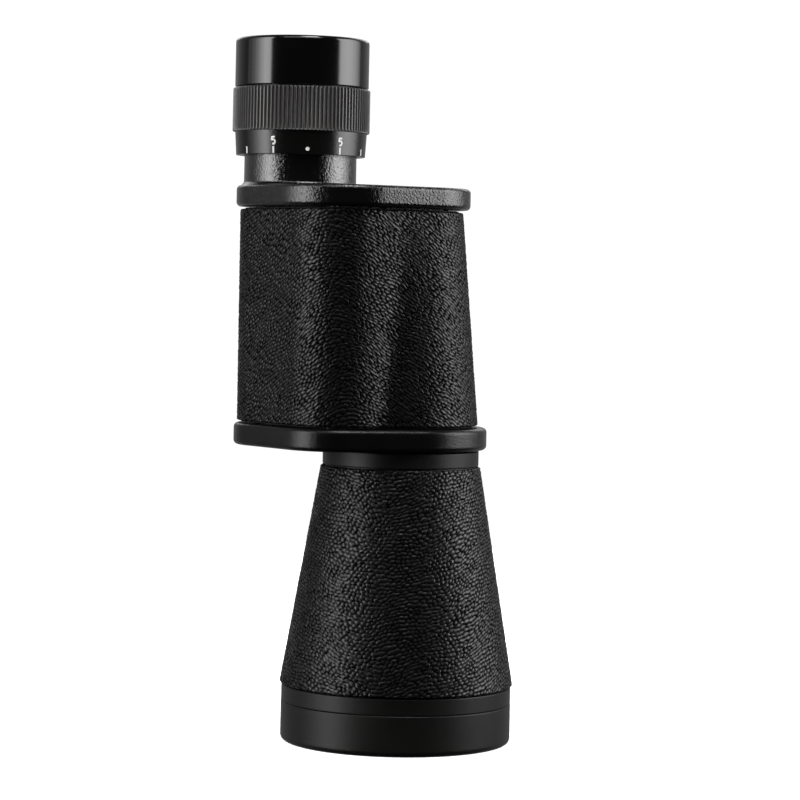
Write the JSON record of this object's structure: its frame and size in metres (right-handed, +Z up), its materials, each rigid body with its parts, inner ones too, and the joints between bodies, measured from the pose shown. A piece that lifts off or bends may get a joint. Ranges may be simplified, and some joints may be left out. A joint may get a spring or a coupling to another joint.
{
  "type": "porro prism monocular",
  "caption": "Black Porro-prism monocular with a leatherette-clad prism housing, a conical objective tube and a knurled dioptre ring that screws the eyepiece in and out.",
  "frame": {"origin": "middle of the ground plan's bounding box, on the plane that the objective ring stands on", "axes": "+Z up along the tube, from the objective to the eye; +X from the eyepiece's axis towards the objective's axis; the prism corner stands out towards -Y"},
  "size_m": [0.0749, 0.0592, 0.1785],
  "materials": {
    "black_paint": "satin",
    "leatherette": "satin",
    "matt_black": "matte",
    "black_anodised": "satin",
    "gloss_plastic": "gloss",
    "glass": "polished",
    "cast_aluminium": "matte",
    "brass": "satin",
    "spring_steel": "satin",
    "screw_steel": "satin",
    "cork": "matte"
  },
  "bodies": {
    "monocular_body": {"prism_housing": "cast_aluminium", "housing_leatherette": "leatherette", "top_cover": "black_paint", "bottom_cover": "black_paint", "objective_tube": "matt_black", "objective_leatherette": "leatherette", "objective_front_ring": "matt_black", "objective_cell": "black_anodised", "objective_crown_lens": "glass", "objective_flint_lens": "glass", "objective_retaining_ring": "black_anodised", "light_baffle": "matt_black", "upper_prism": "glass", "lower_prism": "glass", "upper_prism_pad": "cork", "lower_prism_pad": "cork", "upper_prism_strap": "spring_steel", "lower_prism_strap": "spring_steel", "upper_prism_strap_screw": "screw_steel", "lower_prism_strap_screw": "screw_steel", "top_cover_screw_1": "screw_steel", "top_cover_screw_2": "screw_steel", "top_cover_screw_3": "screw_steel", "bottom_cover_screw_1": "screw_steel", "bottom_cover_screw_2": "screw_steel", "bottom_cover_screw_3": "screw_steel"},
    "ocular_optics": {"field_stop": "black_anodised", "field_lens": "glass", "lens_spacer": "black_anodised", "eye_flint_lens": "glass", "eye_crown_lens": "glass", "ocular_retaining_ring": "black_anodised"},
    "focus_ring": {"ocular_barrel": "brass", "travel_stop_ring": "brass", "dioptre_ring": "black_anodised", "dioptre_grub_screw_1": "screw_steel", "dioptre_grub_screw_2": "screw_steel", "dioptre_grub_screw_3": "screw_steel", "eyecup": "gloss_plastic"}
  },
  "joints": [
    {"name": "ocular_slide", "type": "slide", "parent": "monocular_body", "child": "ocular_optics", "axis": [0, 0, 1], "range_m": [-0.00339, 0.00339]},
    {"name": "focus_turn", "type": "hinge", "parent": "ocular_optics", "child": "focus_ring", "pos_m": [-0.01986, 0, 0.155], "axis": [0, 0, 1], "range_deg": [-61, 61]}
  ],
  "couplings": [
    {"joint": "focus_turn", "follows": "ocular_slide", "rad_per_m": 314.16}
  ]
}
